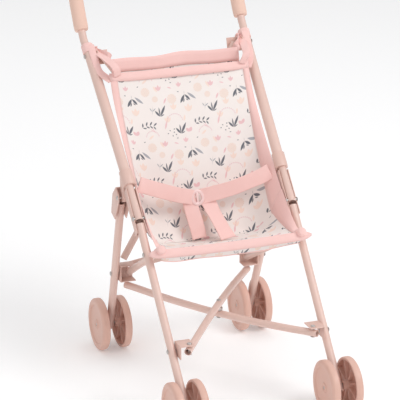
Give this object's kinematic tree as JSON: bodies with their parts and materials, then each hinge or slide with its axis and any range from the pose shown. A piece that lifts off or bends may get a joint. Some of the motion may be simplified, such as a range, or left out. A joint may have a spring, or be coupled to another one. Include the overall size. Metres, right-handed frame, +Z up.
{
  "type": "doll stroller",
  "caption": "Folding doll stroller with a painted tube frame, a scissor linkage, a pair of wheels on each leg and a printed cloth sling seat with a harness.",
  "frame": {"origin": "on the floor, below the middle of the bounding box", "axes": "front is -Y, +Z is up, +X is the left hand of a doll seated in it"},
  "size_m": [0.2618, 0.492, 0.5551],
  "materials": {
    "frame_paint": "satin",
    "bracket_plastic": "satin",
    "wheel_plastic": "satin",
    "grip_foam": "matte",
    "rivet_steel": "satin",
    "print_cloth": "matte",
    "pink_cloth": "matte"
  },
  "bodies": {
    "front_left": {"front_leg_left": "frame_paint", "knee_channel_left": "bracket_plastic", "knee_rivet_left": "rivet_steel", "seat_rail_rivet_left": "rivet_steel", "front_left_axle": "rivet_steel"},
    "upper_left": {"upper_tube_left": "frame_paint", "lower_tube_left": "frame_paint", "handle_tube_left": "frame_paint", "handle_grip_left": "grip_foam", "hip_collar_left": "bracket_plastic", "top_bracket_rivet_left": "rivet_steel", "seat_back": "print_cloth", "storage_pocket": "print_cloth", "harness": "pink_cloth"},
    "rear_left": {"rear_leg_left": "frame_paint", "hip_bracket_left": "bracket_plastic", "hip_rivet_left": "rivet_steel", "rear_bracket_rivet_left": "rivet_steel", "rear_left_axle": "rivet_steel"},
    "seat_rail_left": {"seat_rail_left": "frame_paint", "seat_pan": "print_cloth"},
    "rear_bracket_left": {"rear_bracket_left": "bracket_plastic"},
    "front_bracket_left": {"front_bracket_left": "bracket_plastic"},
    "top_bracket_left": {"top_bracket_left": "bracket_plastic"},
    "cross_link_left": {"cross_link_left": "bracket_plastic"},
    "front_left_wheel_left": {"front_left_wheel_left": "wheel_plastic"},
    "front_left_wheel_right": {"front_left_wheel_right": "wheel_plastic"},
    "rear_left_wheel_left": {"rear_left_wheel_left": "wheel_plastic"},
    "rear_left_wheel_right": {"rear_left_wheel_right": "wheel_plastic"},
    "front_right": {"front_leg_right": "frame_paint", "knee_channel_right": "bracket_plastic", "knee_rivet_right": "rivet_steel", "seat_rail_rivet_right": "rivet_steel", "front_right_axle": "rivet_steel"},
    "upper_right": {"upper_tube_right": "frame_paint", "lower_tube_right": "frame_paint", "handle_tube_right": "frame_paint", "handle_grip_right": "grip_foam", "hip_collar_right": "bracket_plastic", "top_bracket_rivet_right": "rivet_steel"},
    "rear_right": {"rear_leg_right": "frame_paint", "hip_bracket_right": "bracket_plastic", "hip_rivet_right": "rivet_steel", "rear_bracket_rivet_right": "rivet_steel", "rear_right_axle": "rivet_steel"},
    "seat_rail_right": {"seat_rail_right": "frame_paint"},
    "rear_bracket_right": {"rear_bracket_right": "bracket_plastic"},
    "front_bracket_right": {"front_bracket_right": "bracket_plastic"},
    "top_bracket_right": {"top_bracket_right": "bracket_plastic"},
    "cross_link_right": {"cross_link_right": "bracket_plastic"},
    "front_right_wheel_left": {"front_right_wheel_left": "wheel_plastic"},
    "front_right_wheel_right": {"front_right_wheel_right": "wheel_plastic"},
    "rear_right_wheel_left": {"rear_right_wheel_left": "wheel_plastic"},
    "rear_right_wheel_right": {"rear_right_wheel_right": "wheel_plastic"},
    "lower_brace_a": {"lower_brace_a": "frame_paint", "lower_brace_pin": "rivet_steel"},
    "lower_brace_b": {"lower_brace_b": "frame_paint"},
    "back_brace_a": {"back_brace_a": "frame_paint", "back_brace_pin": "rivet_steel"},
    "back_brace_b": {"back_brace_b": "frame_paint"}
  },
  "joints": [
    {"name": "knee_left", "type": "hinge", "parent": "front_left", "child": "upper_left", "pos_m": [-0.1115, -0.03054, 0.243], "axis": [1, 0, 0], "range_deg": [0, 60], "deforming": ["seat_back", "storage_pocket", "harness", "seat_pan"]},
    {"name": "seat_rail_left", "type": "hinge", "parent": "front_left", "child": "seat_rail_left", "pos_m": [-0.09924, -0.06514, 0.203], "axis": [1, 0, 0], "range_deg": [0, 30.84]},
    {"name": "hip_left", "type": "hinge", "parent": "upper_left", "child": "rear_left", "pos_m": [-0.115, 0.02145, 0.257], "axis": [1, 0, 0], "range_deg": [-31.22, 0]},
    {"name": "rear_bracket_left", "type": "hinge", "parent": "rear_left", "child": "rear_bracket_left", "pos_m": [-0.11037, 0.07906, 0.125], "axis": [1, 0, 0], "range_deg": [-15.51, 0]},
    {"name": "cross_link_left", "type": "hinge", "parent": "rear_bracket_left", "child": "cross_link_left", "pos_m": [-0.086, 0.08705, 0.129], "axis": [0, 1, 0], "range_deg": [-47.82, 0]},
    {"name": "top_bracket_left", "type": "hinge", "parent": "upper_left", "child": "top_bracket_left", "pos_m": [-0.1095, 0.15746, 0.421], "axis": [1, 0, 0], "range_deg": [-9.44, 0]},
    {"name": "front_bracket_left", "type": "hinge", "parent": "front_left", "child": "front_bracket_left", "pos_m": [-0.10945, -0.15615, 0.098], "axis": [1, 0, 0], "range_deg": [0, 18.12]},
    {"name": "lower_brace_front", "type": "hinge", "parent": "front_bracket_left", "child": "lower_brace_a", "pos_m": [-0.0885, -0.16614, 0.101], "axis": [0, -0.0081, 1], "range_deg": [0, 16.24]},
    {"name": "lower_brace_middle", "type": "hinge", "parent": "lower_brace_a", "child": "lower_brace_b", "pos_m": [0, -0.04304, 0.102], "axis": [0, -0.0081, 1], "range_deg": [-32.48, 0]},
    {"name": "lower_brace_right", "type": "hinge", "parent": "lower_brace_b", "child": "front_bracket_right", "pos_m": [0.0885, -0.16614, 0.101], "axis": [0, -0.0081, 1], "range_deg": [0, 16.24]},
    {"name": "front_bracket_right", "type": "hinge", "parent": "front_bracket_right", "child": "front_right", "pos_m": [0.10945, -0.15615, 0.098], "axis": [1, 0, 0], "range_deg": [-18.12, 0]},
    {"name": "knee_right", "type": "hinge", "parent": "front_right", "child": "upper_right", "pos_m": [0.1115, -0.03054, 0.243], "axis": [1, 0, 0], "range_deg": [0, 60]},
    {"name": "seat_rail_right", "type": "hinge", "parent": "front_right", "child": "seat_rail_right", "pos_m": [0.09924, -0.06514, 0.203], "axis": [1, 0, 0], "range_deg": [0, 30.84]},
    {"name": "hip_right", "type": "hinge", "parent": "upper_right", "child": "rear_right", "pos_m": [0.115, 0.02145, 0.257], "axis": [1, 0, 0], "range_deg": [-31.22, 0]},
    {"name": "rear_bracket_right", "type": "hinge", "parent": "rear_right", "child": "rear_bracket_right", "pos_m": [0.11037, 0.07906, 0.125], "axis": [1, 0, 0], "range_deg": [-15.51, 0]},
    {"name": "cross_link_right", "type": "hinge", "parent": "rear_bracket_right", "child": "cross_link_right", "pos_m": [0.086, 0.08705, 0.129], "axis": [0, 1, 0], "range_deg": [0, 47.82]},
    {"name": "top_bracket_right", "type": "hinge", "parent": "upper_right", "child": "top_bracket_right", "pos_m": [0.1095, 0.15746, 0.421], "axis": [1, 0, 0], "range_deg": [-9.44, 0]},
    {"name": "back_brace_top", "type": "hinge", "parent": "top_bracket_left", "child": "back_brace_a", "pos_m": [-0.0955, 0.15546, 0.416], "axis": [0, 0.9633, -0.2686], "range_deg": [0, 14.43]},
    {"name": "back_brace_middle", "type": "hinge", "parent": "back_brace_a", "child": "back_brace_b", "pos_m": [0, 0.11796, 0.2815], "axis": [0, 0.9633, -0.2686], "range_deg": [-28.86, 0]},
    {"name": "front_left_wheel_left_spin", "type": "hinge", "parent": "front_left", "child": "front_left_wheel_left", "pos_m": [-0.1254, -0.20855, 0.0375], "axis": [1, 0, 0], "continuous": true},
    {"name": "front_left_wheel_right_spin", "type": "hinge", "parent": "front_left", "child": "front_left_wheel_right", "pos_m": [-0.0918, -0.20855, 0.0375], "axis": [1, 0, 0], "continuous": true},
    {"name": "rear_left_wheel_left_spin", "type": "hinge", "parent": "rear_left", "child": "rear_left_wheel_left", "pos_m": [-0.1241, 0.11145, 0.0375], "axis": [1, 0, 0], "continuous": true},
    {"name": "rear_left_wheel_right_spin", "type": "hinge", "parent": "rear_left", "child": "rear_left_wheel_right", "pos_m": [-0.0905, 0.11145, 0.0375], "axis": [1, 0, 0], "continuous": true},
    {"name": "front_right_wheel_left_spin", "type": "hinge", "parent": "front_right", "child": "front_right_wheel_left", "pos_m": [0.0918, -0.20855, 0.0375], "axis": [1, 0, 0], "continuous": true},
    {"name": "front_right_wheel_right_spin", "type": "hinge", "parent": "front_right", "child": "front_right_wheel_right", "pos_m": [0.1254, -0.20855, 0.0375], "axis": [1, 0, 0], "continuous": true},
    {"name": "rear_right_wheel_left_spin", "type": "hinge", "parent": "rear_right", "child": "rear_right_wheel_left", "pos_m": [0.0905, 0.11145, 0.0375], "axis": [1, 0, 0], "continuous": true},
    {"name": "rear_right_wheel_right_spin", "type": "hinge", "parent": "rear_right", "child": "rear_right_wheel_right", "pos_m": [0.1241, 0.11145, 0.0375], "axis": [1, 0, 0], "continuous": true}
  ],
  "couplings": [
    {"joint": "seat_rail_left", "follows": "knee_left", "ratio": 0.5139},
    {"joint": "hip_left", "follows": "knee_left", "ratio": -0.5203},
    {"joint": "rear_bracket_left", "follows": "knee_left", "ratio": -0.2585},
    {"joint": "cross_link_left", "follows": "knee_left", "ratio": -0.797},
    {"joint": "top_bracket_left", "follows": "knee_left", "ratio": -0.1572},
    {"joint": "front_bracket_left", "follows": "knee_left", "ratio": 0.3019},
    {"joint": "lower_brace_front", "follows": "knee_left", "ratio": 0.2706},
    {"joint": "lower_brace_middle", "follows": "knee_left", "ratio": -0.5412},
    {"joint": "lower_brace_right", "follows": "knee_left", "ratio": 0.2706},
    {"joint": "front_bracket_right", "follows": "knee_left", "ratio": -0.3019},
    {"joint": "knee_right", "follows": "knee_left", "ratio": 1},
    {"joint": "seat_rail_right", "follows": "knee_left", "ratio": 0.5139},
    {"joint": "hip_right", "follows": "knee_left", "ratio": -0.5203},
    {"joint": "rear_bracket_right", "follows": "knee_left", "ratio": -0.2585},
    {"joint": "cross_link_right", "follows": "knee_left", "ratio": 0.797},
    {"joint": "top_bracket_right", "follows": "knee_left", "ratio": -0.1572},
    {"joint": "back_brace_top", "follows": "knee_left", "ratio": 0.2405},
    {"joint": "back_brace_middle", "follows": "knee_left", "ratio": -0.481}
  ]
}
